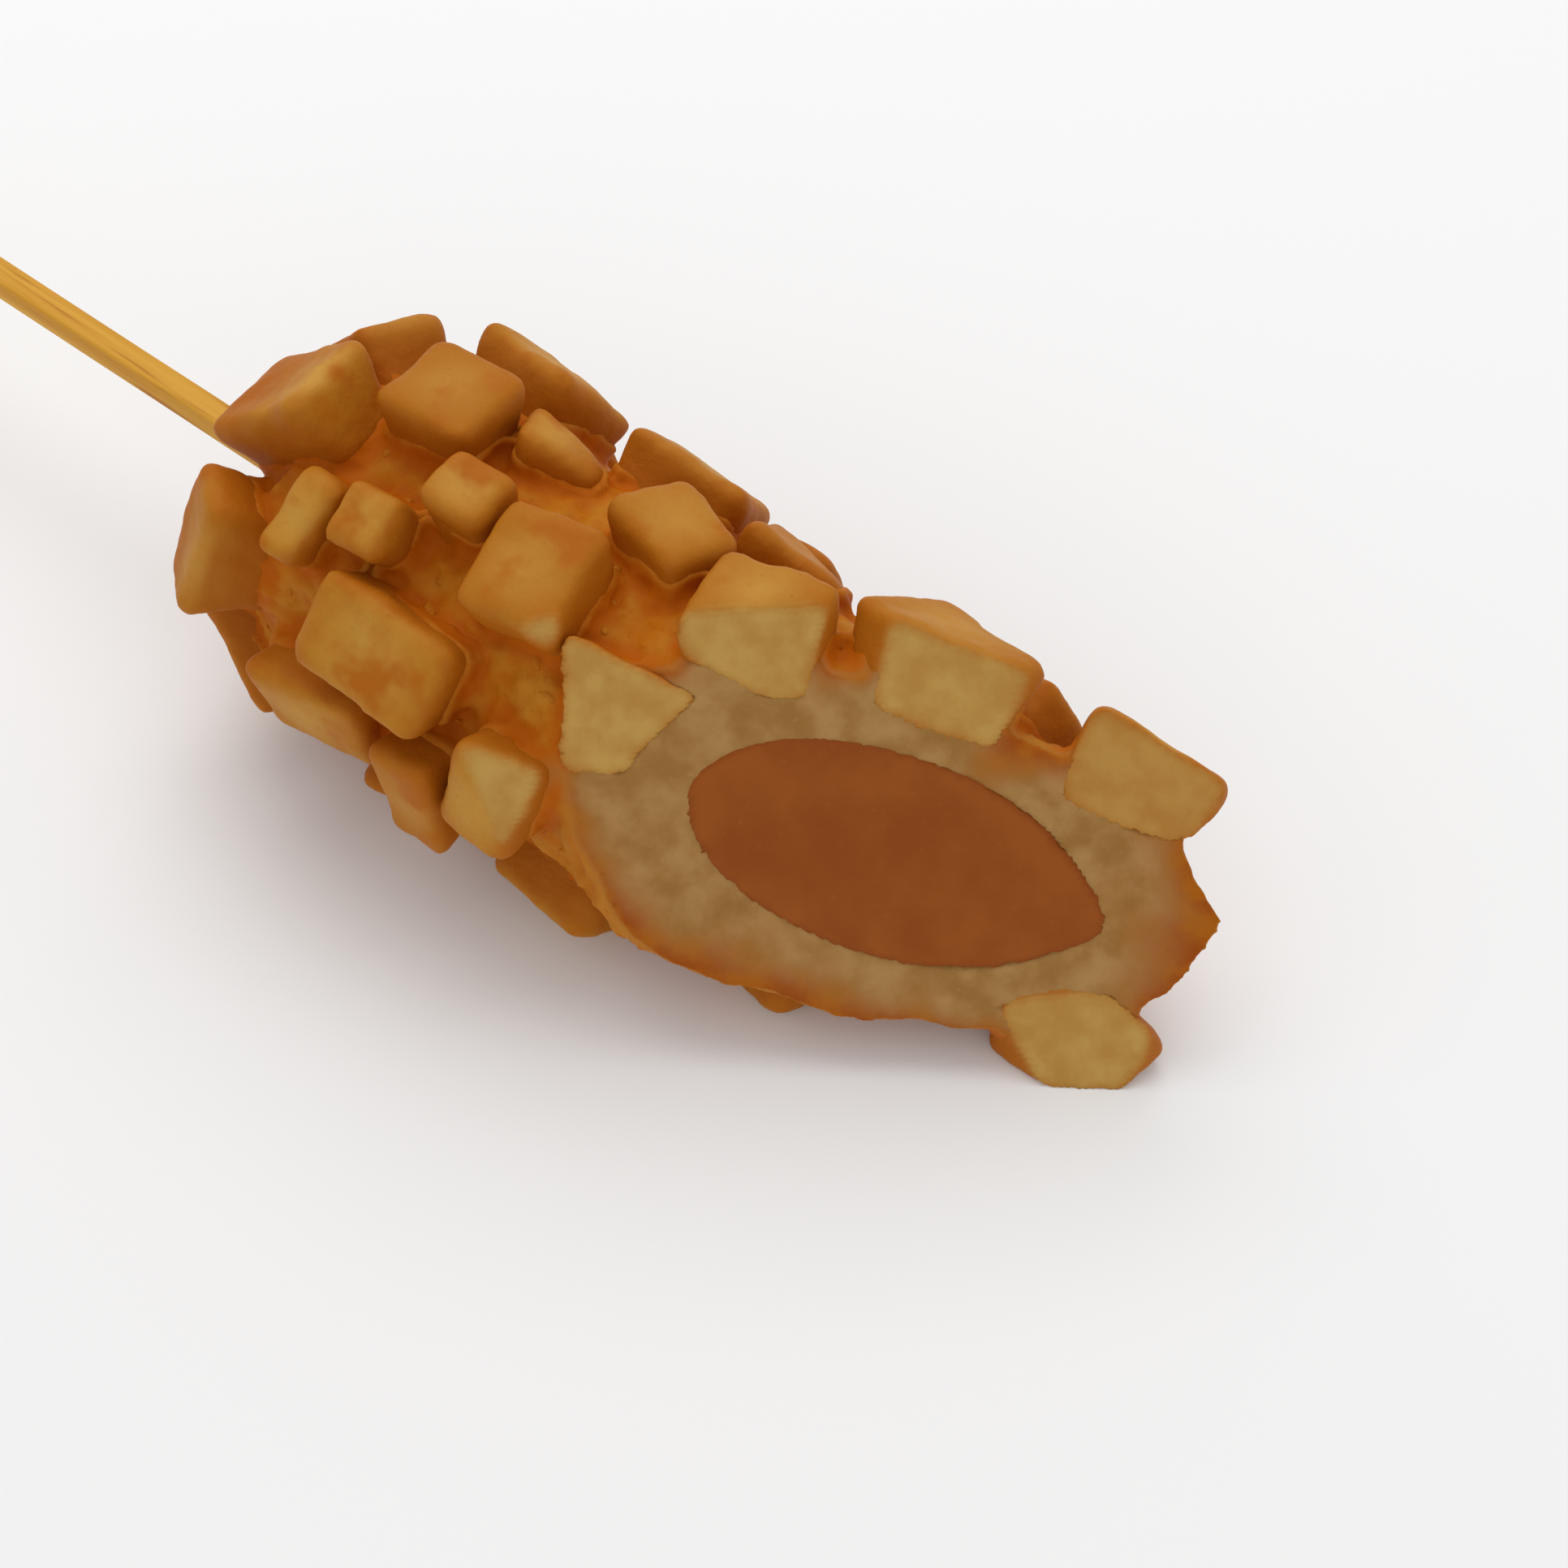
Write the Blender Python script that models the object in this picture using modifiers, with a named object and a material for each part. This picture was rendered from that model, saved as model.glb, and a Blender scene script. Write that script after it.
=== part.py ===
"""A potato corn dog lying on its side, cut on the slant at its far end.

A sausage on a wooden stick is wrapped in yeast dough, rolled in diced potato and
fried. The stick runs along X, +X is the cut end, -Y is the side that shows the
cut, and Z = 0 is the surface that it lies on.
"""

import itertools
import math
import random

import bmesh
import bpy
from mathutils import Matrix, Vector, noise

MM = 0.001

# Driving sizes of the food.
SAUSAGE_RADIUS = 11.5 * MM
SAUSAGE_END = -26.0 * MM
DOUGH_RADIUS = 18.0 * MM
DOUGH_END = -35.5 * MM
POTATO_TALL = 8.4 * MM
POTATO_SINK = 3.5 * MM
AXIS_HEIGHT = 22.9 * MM

# The slanted cut: where it crosses the stick's line, and the way it faces.
CUT_CENTRE = Vector((46.0 * MM, 0, 0))
CUT_NORMAL = Vector((0.550, -0.714, 0.432)).normalized()

# How far the whole food runs past the cut before it is cut off.
SAUSAGE_OVERRUN = 30.0 * MM
DOUGH_OVERRUN = 42.0 * MM

# The stick: a square wooden one with eased edges.
STICK_WIDE = 3.2 * MM
STICK_TALL = 3.0 * MM
STICK_TAIL = -126.0 * MM
STICK_TIP = 6.0 * MM

# Pieces that touch keep this much air between them.
GAP = 0.3 * MM
POCKET_GAP = 0.4 * MM
PIECE_GAP = 0.5 * MM

# The dough's stick end is an oval dome, and the thick bare crust is near the cut.
DOME_LENGTH = 14.0 * MM
DOME_START = DOUGH_END + DOME_LENGTH
COLLAR_RADIUS = 3.6 * MM
COLLAR_LENGTH = 1.6 * MM
LUMP_HEIGHT = 0.9 * MM
LUMP_SIZE = 9.0 * MM
CRAG_HEIGHT = 0.55 * MM
CRAG_SIZE = 3.6 * MM
BARE_CRUST_HEIGHT = 3.3 * MM
BARE_CRUST_ANGLE = 124
BARE_CRUST_SPREAD = 24
BARE_CRUST_FROM = 12.0 * MM
TIP_CRUST_HEIGHT = 1.8 * MM
TIP_CRUST_ANGLE = 259
TIP_CRUST_SPREAD = 17
TIP_CRUST_FROM = 58.0 * MM
CRUST_RISE = 14.0 * MM

# The sausage is pressed to a soft ridge on one side, so its cut face has a point.
RIDGE_HEIGHT = 0.085
RIDGE_ANGLE = 239
RIDGE_SPREAD = 20

# How a potato dice differs from a cube.
FOOT_LONG = 0.88
FOOT_WIDE = 0.66
CORNER_JITTER = 0.45 * MM
SIDE_SLOPE = 0.7
MOST_LEAN = 5
EDGE_ROUNDING = 1.0 * MM

STEPS_AROUND = 44
DOUGH_STEP = 3.0 * MM
DARTS = 5000
MOST_POTATOES = 48
SEED = 11

# Pieces that are too near each other give way in small steps.
YIELD_SHARE = 0.996
YIELD_STEP = 0.12 * MM
MOST_ROUNDS = 150

# The pieces on the side that shows, then the ones that the food rests on: millimetres
# along the dog, degrees from the top towards -Y, length, width, height, turn, how far
# the +X end is drawn to a wedge, and whether the piece keeps its place.
SHOWN_POTATOES = [
    (-27.0, 12, 16.5, 13.5, 9.4, 12, 0.0, False),
    (-26.3, 63, 9.5, 16.0, 10.0, -8, 0.0, False),
    (-18.2, 43, 6.5, 12.5, 9.0, -6, 0.0, False),
    (-11.8, 36, 8.8, 9.4, 10.4, 4, 0.0, False),
    (-3.2, 20, 10.0, 10.4, 10.4, 6, 0.2, False),
    (-5.0, 62, 19.0, 12.2, 10.0, -4, 0.0, False),
    (-13.0, -9, 13.5, 13.5, 9.8, 6, 0.0, False),
    (-15.0, -52, 15.0, 14.0, 9.6, -12, 0.0, False),
    (-4.6, -24, 11.0, 9.5, 8.4, 22, 0.9, False),
    (3.8, -48, 16.5, 14.5, 8.8, 8, 0.0, False),
    (8.2, 25, 13.0, 13.5, 10.2, 8, 0.0, True),
    (2.5, 95, 8.5, 15.5, 9.6, 4, 0.0, False),
    (12.0, 78, 10.5, 16.5, 9.2, -8, 0.0, False),
    (21.0, 41, 14.5, 16.5, 9.4, 12, 0.0, True),
    (16.2, -15, 12.5, 12.0, 9.2, -14, 0.3, False),
    (28.8, -4, 14.0, 13.0, 9.0, 14, 0.0, True),
    (22.0, -43, 12.5, 11.0, 8.2, 16, 0.7, False),
    (41.5, -31, 16.5, 14.5, 9.2, -10, 0.0, True),
    (63.5, -60, 15.0, 14.0, 9.4, 18, 0.0, False),
    (65.5, 199, 14.0, 12.5, 9.0, 6, 0.0, True),
    (0.0, 180, 13.5, 12.5, 9.2, 0, 0.0, True),
    (-20.0, 172, 12.5, 12.5, 9.2, 10, 0.0, True),
    (21.0, 187, 13.5, 12.5, 9.2, -6, 0.0, True),
    (42.0, 192, 12.5, 11.5, 9.4, 12, 0.0, True),
]

# The sizes tried for every other piece, largest first: length and width.
FILL_SIZES = [(16.0, 13.0), (14.0, 12.5), (12.5, 11.0), (10.5, 9.0), (8.0, 7.0)]


def clear_scene():
    """Remove whatever the file holds."""
    for old in list(bpy.data.objects):
        bpy.data.objects.remove(old)


def new_collection(name):
    """A collection in the scene."""
    made = bpy.data.collections.new(name)
    bpy.context.scene.collection.children.link(made)
    return made


def food_material(name, colour, roughness):
    """A plain Principled finish in the part's own colour."""
    made = bpy.data.materials.new(name)
    made.use_nodes = True
    shader = made.node_tree.nodes["Principled BSDF"]
    shader.inputs["Base Color"].default_value = (*colour, 1)
    shader.inputs["Roughness"].default_value = roughness
    return made


def add_object(name, mesh, collection, material=None):
    """An object for a mesh, at the height of the stick's line."""
    made = bpy.data.objects.new(name, mesh)
    made.location.z = AXIS_HEIGHT
    collection.objects.link(made)
    if material:
        mesh.materials.append(material)
    return made


def as_cutter(cutter):
    """Keep a cutter or guide out of the model."""
    cutter.hide_render = True
    cutter.display_type = "WIRE"
    return cutter


def subtract(target, cutter, name, solver="EXACT"):
    """Cut one closed body from another."""
    boolean = target.modifiers.new(name, "BOOLEAN")
    boolean.operation = "DIFFERENCE"
    boolean.solver = solver
    boolean.object = cutter


def subtract_all(target, collection, name, solver="EXACT"):
    """Cut every body of a collection from another."""
    boolean = target.modifiers.new(name, "BOOLEAN")
    boolean.operation = "DIFFERENCE"
    boolean.solver = solver
    boolean.operand_type = "COLLECTION"
    boolean.collection = collection


def connected_faces(first, left):
    """The faces joined to one face across plain edges, taken out of those left."""
    found = [first]
    left.discard(first)
    for face in found:
        plain = [edge for edge in face.edges if len(edge.link_faces) == 2]
        beside = {other for edge in plain for other in edge.link_faces} & left
        left -= beside
        found.extend(beside)
    return found


def settle(target):
    """Apply a solid's modifiers and drop the loose scraps that its cuts leave."""
    bpy.context.view_layer.update()
    graph = bpy.context.evaluated_depsgraph_get()
    mesh = bpy.data.meshes.new_from_object(target.evaluated_get(graph))
    work = bmesh.new()
    work.from_mesh(mesh)
    bmesh.ops.triangulate(work, faces=work.faces)
    left = set(work.faces)
    bodies = []
    while left:
        bodies.append(connected_faces(next(iter(left)), left))
    bodies.sort(key=len)
    scraps = [face for body in bodies[:-1] for face in body]
    bmesh.ops.delete(work, geom=scraps, context="FACES")
    work.to_mesh(mesh)
    work.free()
    target.modifiers.clear()
    target.data = mesh
    mesh.name = target.name


def outward(around):
    """The way out from the stick's line, in degrees from the top towards -Y."""
    angle = math.radians(around)
    return Vector((0, -math.sin(angle), math.cos(angle)))


def angle_of(point):
    """Degrees from the top towards -Y, from 0 to 360."""
    return math.degrees(math.atan2(-point.y, point.z)) % 360


def bump(around, centre, spread):
    """A smooth hump of height 1 round the body, centred on an angle."""
    away = (around - centre + 180) % 360 - 180
    return math.exp(-((away / spread) ** 2))


def turned_mesh(name, profile):
    """A closed solid turned round X from (station, radius) points, pole to pole."""
    outline = bpy.data.meshes.new(name + "_profile")
    points = [(station, 0, radius) for station, radius in profile]
    outline.from_pydata(points, [(i, i + 1) for i in range(len(points) - 1)], [])
    holder = bpy.data.objects.new(name + "_profile", outline)
    bpy.context.scene.collection.objects.link(holder)
    screw = holder.modifiers.new("turn", "SCREW")
    screw.axis = "X"
    screw.steps = STEPS_AROUND
    screw.render_steps = STEPS_AROUND
    screw.use_merge_vertices = True
    screw.merge_threshold = 0.00002
    bpy.context.view_layer.update()
    graph = bpy.context.evaluated_depsgraph_get()
    mesh = bpy.data.meshes.new_from_object(holder.evaluated_get(graph))
    bpy.data.objects.remove(holder)
    mesh.name = name
    return mesh


def face_outwards(mesh):
    """Merge what touches and turn every face of a closed mesh outwards."""
    work = bmesh.new()
    work.from_mesh(mesh)
    bmesh.ops.remove_doubles(work, verts=work.verts, dist=0.00001)
    bmesh.ops.recalc_face_normals(work, faces=work.faces)
    work.to_mesh(mesh)
    work.free()


def dome_radius(station, start, length, radius):
    """The radius of an oval dome that reaches its full radius at start."""
    share = min(1.0, max(0.0, (start - station) / length))
    return radius * math.sqrt(1 - share * share)


def capsule_profile(end, start, length, radius, far, step):
    """Stations and radii of a rod with one oval dome and one flat end."""
    quarter = [math.radians(9 * i) for i in range(10)]
    points = [(start - length * math.cos(a), radius * math.sin(a)) for a in quarter]
    points[0] = (end, 0.0)
    count = max(1, round((far - start) / step))
    points += [(start + (far - start) * i / count, radius) for i in range(1, count + 1)]
    return points + [(far, 0.0)]


def dough_relief(point):
    """How far the crust stands out at a point, beyond the plain turned form."""
    swell = LUMP_HEIGHT * noise.noise(point / LUMP_SIZE)
    crag = CRAG_HEIGHT * noise.noise(point / CRAG_SIZE + Vector((7, 3, 5)))
    around = angle_of(point)
    near_cut = min(1.0, max(0.0, (point.x - BARE_CRUST_FROM) / CRUST_RISE))
    patch = bump(around, BARE_CRUST_ANGLE, BARE_CRUST_SPREAD) * near_cut
    near_tip = min(1.0, max(0.0, (point.x - TIP_CRUST_FROM) / CRUST_RISE))
    tip = bump(around, TIP_CRUST_ANGLE, TIP_CRUST_SPREAD) * near_tip
    return swell + crag * (1 + patch) + BARE_CRUST_HEIGHT * patch + TIP_CRUST_HEIGHT * tip


def make_dough_mesh():
    """The dough with its dome, its collar round the stick and its crags."""
    far = CUT_CENTRE.x + DOUGH_OVERRUN
    profile = capsule_profile(DOUGH_END, DOME_START, DOME_LENGTH, DOUGH_RADIUS, far, DOUGH_STEP)
    collar_top = DOUGH_END - COLLAR_LENGTH
    profile[0:2] = [
        (collar_top, 0.0),
        (collar_top, COLLAR_RADIUS - 1.0 * MM),
        (DOUGH_END + 0.4 * MM, COLLAR_RADIUS),
    ]
    mesh = turned_mesh("dough", profile)
    face_outwards(mesh)
    for vertex in mesh.vertices:
        radial = Vector((0, vertex.co.y, vertex.co.z))
        fade = min(1.0, radial.length / (8.0 * MM))
        if radial.length > 0:
            vertex.co += radial.normalized() * dough_relief(vertex.co) * fade
    return mesh


def make_sausage_mesh(name, far, grow):
    """The sausage, its pressed ridge drawn into the section, grown by a gap."""
    radius = SAUSAGE_RADIUS
    profile = capsule_profile(SAUSAGE_END, SAUSAGE_END + radius, radius, radius, far, far)
    mesh = turned_mesh(name, profile)
    face_outwards(mesh)
    for vertex in mesh.vertices:
        radial = Vector((0, vertex.co.y, vertex.co.z))
        if radial.length == 0:
            vertex.co.x += grow if vertex.co.x > 0 else -grow
            continue
        ridge = 1 + RIDGE_HEIGHT * bump(angle_of(vertex.co), RIDGE_ANGLE, RIDGE_SPREAD)
        wide = radial * ridge + radial.normalized() * grow
        vertex.co.y = wide.y
        vertex.co.z = wide.z
        if vertex.co.x < SAUSAGE_END + radius:
            vertex.co.x -= grow
    return mesh


def cube_mesh(name, corners):
    """A cube whose eight corners are moved to where a dictionary of signs says."""
    work = bmesh.new()
    bmesh.ops.create_cube(work, size=2.0)
    for vertex in work.verts:
        vertex.co = corners[tuple(1 if c > 0 else -1 for c in vertex.co)]
    mesh = bpy.data.meshes.new(name)
    work.to_mesh(mesh)
    work.free()
    return mesh


def box_corners(low, high):
    """The corners of an upright box, by their signs."""
    return {
        (sx, sy, sz): Vector(
            (
                high[0] if sx > 0 else low[0],
                high[1] if sy > 0 else low[1],
                high[2] if sz > 0 else low[2],
            )
        )
        for sx in (-1, 1)
        for sy in (-1, 1)
        for sz in (-1, 1)
    }


def stick_corners(grow):
    """The stick as a plain box, grown by a gap."""
    half_wide = STICK_WIDE / 2 + grow
    half_tall = STICK_TALL / 2 + grow
    low = (STICK_TAIL - grow, -half_wide, -half_tall)
    return box_corners(low, (STICK_TIP + grow, half_wide, half_tall))


class Potato:
    """One diced piece: its eight corners, and how it sits on the dough."""

    def __init__(self, along, around, long, wide, tall, turn, wedge, dice):
        self.corners = {}
        for signs in box_corners((0, 0, 0), (1, 1, 1)):
            sx, sy, sz = signs
            corner = Vector((sx * long / 2, sy * wide / 2, sz * tall / 2))
            if sz < 0:
                corner.x *= FOOT_LONG
                corner.y *= FOOT_WIDE
            if sx > 0:
                corner.y *= 1 - 0.55 * wedge
                corner.z -= max(0, sz) * 0.45 * wedge * tall
            jitter = [dice.uniform(-CORNER_JITTER, CORNER_JITTER) for _ in range(3)]
            self.corners[signs] = corner + Vector(jitter)
        self.along = along
        self.around = around
        self.tall = tall
        self.keeps_place = False
        lean = Matrix.Rotation(math.radians(dice.uniform(-MOST_LEAN, MOST_LEAN)), 4, "X")
        pitch = Matrix.Rotation(math.radians(dice.uniform(-MOST_LEAN, MOST_LEAN)), 4, "Y")
        self.turn = Matrix.Rotation(math.radians(turn), 4, "Z") @ lean @ pitch
        self.sit()

    def sit(self):
        """Put the piece where its place on the dough says."""
        self.placing = potato_placing(self.along, self.around, self.tall) @ self.turn

    def yield_to(self, other):
        """Give way to a piece that is too near: move off a little and shrink a little."""
        for corner in self.corners.values():
            corner.x *= YIELD_SHARE
            corner.y *= YIELD_SHARE
        ahead = self.along - other.along
        beside = math.radians((self.around - other.around + 180) % 360 - 180) * DOUGH_RADIUS
        away = max(math.hypot(ahead, beside), MM)
        self.along += YIELD_STEP * ahead / away
        self.around += math.degrees(YIELD_STEP * beside / away / DOUGH_RADIUS)
        self.sit()

    def points(self):
        """The corners where they lie."""
        return [self.placing @ corner for corner in self.corners.values()]

    def middle(self):
        """The middle of the piece where it lies."""
        return self.placing.translation

    def grown(self, grow):
        """The corners moved out by a gap, for the piece's pocket."""
        return {s: c + Vector(s) * grow for s, c in self.corners.items()}

    def axes(self):
        """Directions that may part this piece from another."""
        turn = self.placing.to_3x3()
        lean_long = (1 - FOOT_LONG) * SIDE_SLOPE
        lean_wide = (1 - FOOT_WIDE) * SIDE_SLOPE
        plain = [Vector((1, 0, 0)), Vector((0, 1, 0)), Vector((0, 0, 1))]
        sides = [Vector((s, 0, -lean_long)) for s in (-1, 1)]
        sides += [Vector((0, s, -lean_wide)) for s in (-1, 1)]
        return [(turn @ axis).normalized() for axis in plain + sides]


def potato_placing(along, around, tall):
    """Where a piece sits: its foot in the dough and its top facing outwards."""
    out = outward(around)
    if along >= DOME_START:
        normal = out
        foot = Vector((along, 0, 0)) + out * DOUGH_RADIUS
    else:
        radius = dome_radius(along, DOME_START, DOME_LENGTH, DOUGH_RADIUS)
        foot = Vector((along, 0, 0)) + out * radius
        slope = (along - DOME_START) / DOME_LENGTH**2
        normal = (Vector((slope, 0, 0)) + out * (radius / DOUGH_RADIUS**2)).normalized()
    across = normal.cross(Vector((1, 0, 0))).normalized()
    forward = across.cross(normal)
    turned = Matrix((forward, across, normal)).transposed().to_4x4()
    middle = foot + normal * (tall / 2 - POTATO_SINK)
    return Matrix.Translation(middle) @ turned


def apart(first, second):
    """Whether some direction parts two pieces by more than a gap."""
    if (first.middle() - second.middle()).length > 26.0 * MM:
        return True
    a_points, b_points = first.points(), second.points()
    a_axes, b_axes = first.axes(), second.axes()
    crossed = [a.cross(b) for a in a_axes[:3] for b in b_axes[:3]]
    crossed = [axis.normalized() for axis in crossed if axis.length > 0.05]
    for axis in a_axes + b_axes + crossed:
        a_reach = [axis.dot(p) for p in a_points]
        b_reach = [axis.dot(p) for p in b_points]
        parted = max(min(b_reach) - max(a_reach), min(a_reach) - max(b_reach))
        if parted > PIECE_GAP:
            return True
    return False


def clear_of_stick(piece):
    """Whether a piece stays beside the stick."""
    reach = math.hypot(STICK_WIDE, STICK_TALL) / 2 + 2 * GAP
    corners = [Vector((0, p.y, p.z)).length for p in piece.points() if p.x < DOME_START]
    return all(distance > reach for distance in corners)


def depth_behind_cut(point):
    """How far a point lies inside the food, measured from the cut."""
    return (CUT_CENTRE - point).dot(CUT_NORMAL)


def on_bare_crust(along, around):
    """Whether a place lies on the thick crust that carries no potato."""
    at_side = 86 < around < 162 and along > 15.0 * MM
    at_side = at_side or (86 < around < 186 and along > 36.0 * MM)
    at_tip = 222 < around < 286 and along > 56.0 * MM
    return at_side or at_tip


def make_room(placed):
    """Let pieces that are too near give way to each other until all are apart."""
    pairs = list(itertools.combinations(placed, 2))
    for _ in range(MOST_ROUNDS):
        near = [(a, b) for a, b in pairs if not apart(a, b)]
        if not near:
            return
        for first, second in near:
            both_stay = first.keeps_place and second.keeps_place
            if both_stay or not first.keeps_place:
                first.yield_to(second)
            if both_stay or not second.keeps_place:
                second.yield_to(first)


def place_potatoes():
    """The pieces that show, then seeded ones wherever there is room."""
    dice = random.Random(SEED)
    placed = []
    for along, around, long, wide, tall, turn, wedge, keeps_place in SHOWN_POTATOES:
        piece = Potato(along * MM, around, long * MM, wide * MM, tall * MM, turn, wedge, dice)
        piece.keeps_place = keeps_place
        placed.append(piece)
    make_room(placed)
    for long, wide in FILL_SIZES:
        for _ in range(DARTS // len(FILL_SIZES)):
            along = dice.uniform(DOUGH_END + 3.0 * MM, 74.0 * MM)
            around = dice.uniform(0, 360)
            tall = dice.uniform(0.9, 1.18) * POTATO_TALL
            turn = dice.uniform(-35, 35)
            wedge = dice.choice((0, 0, 0, 0.7))
            size = dice.uniform(0.9, 1.05) * MM
            piece = Potato(along, around, long * size, wide * size, tall, turn, wedge, dice)
            inside = depth_behind_cut(piece.middle()) > 1.5 * MM
            if on_bare_crust(along, around) or not inside or not clear_of_stick(piece):
                continue
            if len(placed) < MOST_POTATOES and all(apart(piece, p) for p in placed):
                placed.append(piece)
    return placed


def make_cut_plane(cutters):
    """A block whose near face is the slanted cut."""
    size = 140.0 * MM
    block = cube_mesh("cut_block", box_corners((-size, -size, 0), (size, size, size)))
    cutter = as_cutter(add_object("cut_block", block, cutters))
    turn = CUT_NORMAL.to_track_quat("Z", "Y").to_matrix().to_4x4()
    lift = Vector((0, 0, AXIS_HEIGHT))
    cutter.matrix_world = Matrix.Translation(CUT_CENTRE + lift) @ turn
    return cutter


def make_floor_block(cutters):
    """A block whose top is the surface that the food is pressed flat on."""
    size = 200.0 * MM
    block = cube_mesh("floor_block", box_corners((-size, -size, -size), (size, size, 0)))
    cutter = as_cutter(add_object("floor_block", block, cutters))
    cutter.location.z = 0
    return cutter


def round_edges(target, width):
    """Ease the edges of a solid."""
    bevel = target.modifiers.new("rounding", "BEVEL")
    bevel.width = width
    bevel.segments = 2
    bevel.limit_method = "NONE"


def smooth(mesh):
    """Shade a rounded solid smooth, with its cut edges sharp."""
    mesh.shade_smooth()
    mesh.set_sharp_from_angle(angle=math.radians(40))


def add_potato(number, piece, parts, pockets, cut, floor, material):
    """One potato piece, and the pocket that it presses into the dough."""
    name = f"potato_{number:02d}"
    solid = add_object(name, cube_mesh(name, piece.corners), parts, material)
    lift = Matrix.Translation((0, 0, AXIS_HEIGHT))
    solid.matrix_world = lift @ piece.placing
    round_edges(solid, EDGE_ROUNDING)
    reach = [depth_behind_cut(p) for p in piece.points()]
    if min(reach) < 0.5 * MM:
        subtract(solid, cut, "slanted cut")
    if min(p.z for p in piece.points()) < 0.1 * MM - AXIS_HEIGHT:
        subtract(solid, floor, "resting flat", "MANIFOLD")
    smooth(solid.data)
    room = cube_mesh(name + "_pocket", piece.grown(POCKET_GAP))
    pocket = add_object(name + "_pocket", room, pockets)
    pocket.matrix_world = solid.matrix_world
    as_cutter(pocket)


def main():
    """Build the corn dog."""
    clear_scene()
    parts = new_collection("corn_dog")
    cutters = new_collection("cutters")
    pockets = new_collection("potato_pockets")

    wood = food_material("pale_wood", (0.64, 0.36, 0.10), 0.6)
    meat = food_material("sausage_meat", (0.30, 0.08, 0.02), 0.45)
    crust = food_material("fried_dough", (0.42, 0.16, 0.035), 0.55)
    potato = food_material("fried_potato", (0.58, 0.30, 0.07), 0.5)

    cut = make_cut_plane(cutters)
    floor = make_floor_block(cutters)

    stick = add_object("stick", cube_mesh("stick", stick_corners(0)), parts, wood)
    round_edges(stick, 0.5 * MM)
    bore = add_object("stick_bore", cube_mesh("stick_bore", stick_corners(GAP)), cutters)
    as_cutter(bore)

    far = CUT_CENTRE.x + SAUSAGE_OVERRUN
    sausage = add_object("sausage", make_sausage_mesh("sausage", far, 0), parts, meat)
    subtract(sausage, bore, "stick hole", "MANIFOLD")
    subtract(sausage, cut, "slanted cut", "MANIFOLD")
    smooth(sausage.data)
    room_mesh = make_sausage_mesh("sausage_room", far + DOUGH_OVERRUN, GAP)
    room = as_cutter(add_object("sausage_room", room_mesh, cutters))

    dough = add_object("dough", make_dough_mesh(), parts, crust)
    smooth(dough.data)
    for number, piece in enumerate(place_potatoes(), start=1):
        add_potato(number, piece, parts, pockets, cut, floor, potato)
    subtract(dough, room, "sausage room", "MANIFOLD")
    subtract(dough, bore, "stick hole", "MANIFOLD")
    subtract(dough, cut, "slanted cut", "MANIFOLD")
    subtract_all(dough, pockets, "potato pockets", "MANIFOLD")
    settle(dough)


main()
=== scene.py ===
# %% [markdown]
# A potato corn dog, lying on its side and cut on the slant. A sausage on a square wooden
# stick is wrapped in yeast dough, rolled in diced potato and deep-fried. The CAD model
# gives every solid its place and size. This lesson dresses those solids: the dice get
# soft browned skins, the batter climbs up their sides, and the cut shows its crumb.

import math
import random

import bpy
import numpy as np
from mathutils import Matrix, Vector, noise
from mathutils.bvhtree import BVHTree
from mathutils.kdtree import KDTree


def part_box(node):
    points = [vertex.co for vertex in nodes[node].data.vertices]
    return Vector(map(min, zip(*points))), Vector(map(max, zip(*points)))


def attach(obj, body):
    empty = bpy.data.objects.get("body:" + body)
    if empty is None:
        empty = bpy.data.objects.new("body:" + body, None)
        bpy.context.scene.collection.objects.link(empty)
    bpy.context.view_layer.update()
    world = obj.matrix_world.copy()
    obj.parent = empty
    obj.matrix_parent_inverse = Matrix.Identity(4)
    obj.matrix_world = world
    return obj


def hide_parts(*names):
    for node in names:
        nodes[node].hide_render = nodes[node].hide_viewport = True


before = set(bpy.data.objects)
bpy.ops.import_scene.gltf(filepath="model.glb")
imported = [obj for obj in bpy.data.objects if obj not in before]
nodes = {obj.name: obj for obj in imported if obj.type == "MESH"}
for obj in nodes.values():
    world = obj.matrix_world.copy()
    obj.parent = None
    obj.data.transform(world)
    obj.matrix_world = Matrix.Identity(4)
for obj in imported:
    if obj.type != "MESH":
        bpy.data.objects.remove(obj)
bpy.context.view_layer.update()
potato_names = sorted(name for name in nodes if name.startswith("potato"))
print(len(nodes), "solids, of which", len(potato_names), "are potato dice")

# %% [markdown]
# Everything here is in metres, so one name stands for a millimetre. The stick's line and
# the slanted cut are the two places that most of the shaping is measured from.

# %% Sizes that the shaping is measured from
MM = 0.001
AXIS_HEIGHT = 22.9 * MM
CUT_CENTRE = Vector((46.0 * MM, 0, AXIS_HEIGHT))
CUT_NORMAL = Vector((0.550, -0.714, 0.432)).normalized()
KNIFE = np.array(CUT_NORMAL)


def depth_behind_cut(points):
    """How far each point of an array lies inside the food, measured from the cut."""
    return (np.array(CUT_CENTRE) - points) @ KNIFE


def from_axis(points):
    """The arrow to each point from the stick's line, square to that line."""
    return points * np.array([0, 1, 1]) - np.array([0, 0, AXIS_HEIGHT])


def angle_round(points):
    """The angle of each point round the stick's line: 0 is up and 90 is the shown side."""
    arrow = from_axis(points)
    return np.degrees(np.arctan2(-arrow[:, 1], arrow[:, 2])) % 360


def unit(arrows):
    """Arrows made one metre long, apart from those that are shorter than a millimetre."""
    return arrows / np.maximum(np.linalg.norm(arrows, axis=1), MM)[:, None]


def bell(values, middle, width):
    """A smooth hump that is 1 at the middle and fades over a width."""
    return np.exp(-(((values - middle) / width) ** 2))


print("the cut crosses the stick's line at", [round(c / MM, 1) for c in CUT_CENTRE], "mm")

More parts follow.
